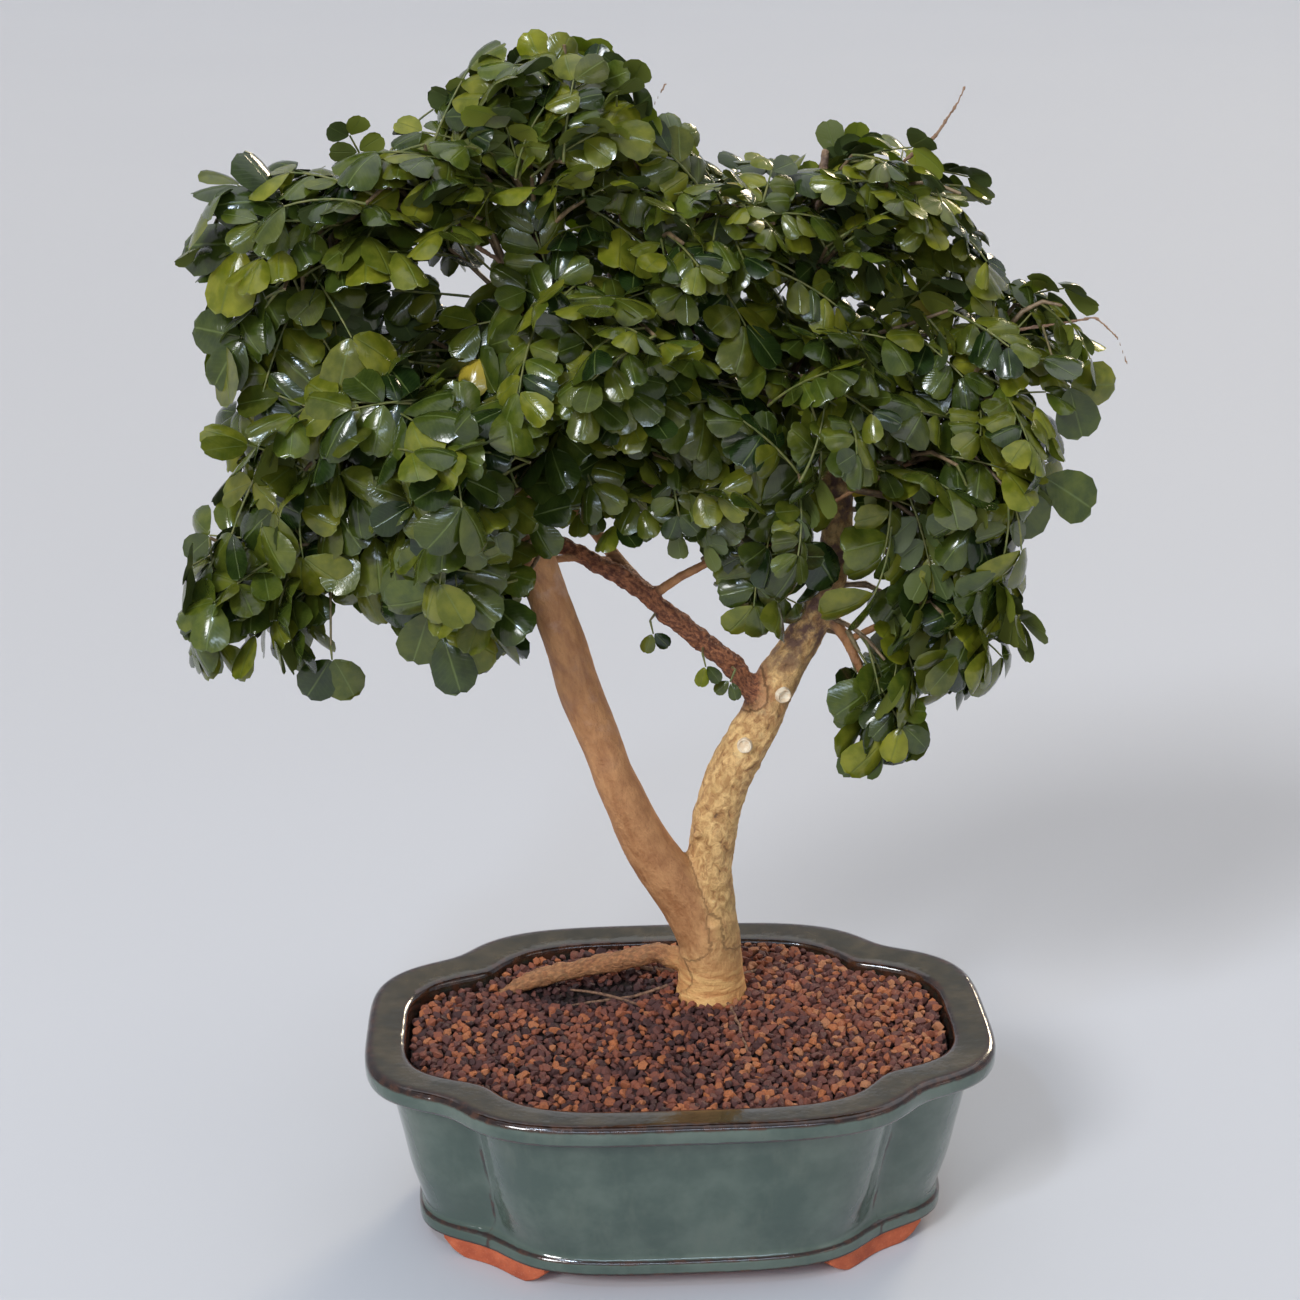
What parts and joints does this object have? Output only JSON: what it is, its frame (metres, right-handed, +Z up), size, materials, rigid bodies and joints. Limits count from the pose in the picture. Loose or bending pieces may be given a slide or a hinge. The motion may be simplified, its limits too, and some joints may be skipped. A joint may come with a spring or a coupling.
{
  "type": "logwood bonsai in a pot",
  "caption": "Bonsai tree with a forked trunk and a crown of leafy shoots with heart-shaped leaflets, in gravelly soil in a low lobed glazed pot on short feet.",
  "frame": {"origin": "on the ground under the middle of the box round the whole plant and its pot", "axes": "+Z up, -Y the front of the pot that the picture shows, +X to the right of it"},
  "size_m": [0.4416, 0.2392, 0.5811],
  "materials": {
    "glaze": "glossy muted teal glaze, brown where it runs thin at the edges, bare red clay feet",
    "drain_mesh": "thin black plastic mesh",
    "soil": "coarse reddish brown gravelly soil",
    "bark": "tan and orange brown bark, rougher on the right stem",
    "leaf": "glossy dark green leaflets on reddish green stems"
  },
  "bodies": {
    "root": {"pot": "glaze", "drain_screen_left": "drain_mesh", "drain_screen_right": "drain_mesh", "soil": "soil", "trunk": "bark", "leafy_shoot_01": "leaf", "leafy_shoot_02": "leaf", "leafy_shoot_03": "leaf", "leafy_shoot_04": "leaf", "leafy_shoot_05": "leaf", "leafy_shoot_06": "leaf", "leafy_shoot_07": "leaf", "leafy_shoot_08": "leaf", "leafy_shoot_09": "leaf", "leafy_shoot_10": "leaf", "leafy_shoot_11": "leaf", "leafy_shoot_12": "leaf", "leafy_shoot_13": "leaf", "leafy_shoot_14": "leaf", "leafy_shoot_15": "leaf", "leafy_shoot_16": "leaf", "leafy_shoot_17": "leaf", "leafy_shoot_18": "leaf", "leafy_shoot_19": "leaf", "leafy_shoot_20": "leaf", "leafy_shoot_21": "leaf", "leafy_shoot_22": "leaf", "leafy_shoot_23": "leaf", "leafy_shoot_24": "leaf", "leafy_shoot_25": "leaf", "leafy_shoot_26": "leaf", "leafy_shoot_27": "leaf", "leafy_shoot_28": "leaf", "leafy_shoot_29": "leaf", "leafy_shoot_30": "leaf", "leafy_shoot_31": "leaf", "leafy_shoot_32": "leaf", "leafy_shoot_33": "leaf", "leafy_shoot_34": "leaf", "leafy_shoot_35": "leaf", "leafy_shoot_36": "leaf", "leafy_shoot_37": "leaf", "leafy_shoot_38": "leaf", "leafy_shoot_39": "leaf"}
  },
  "joints": []
}
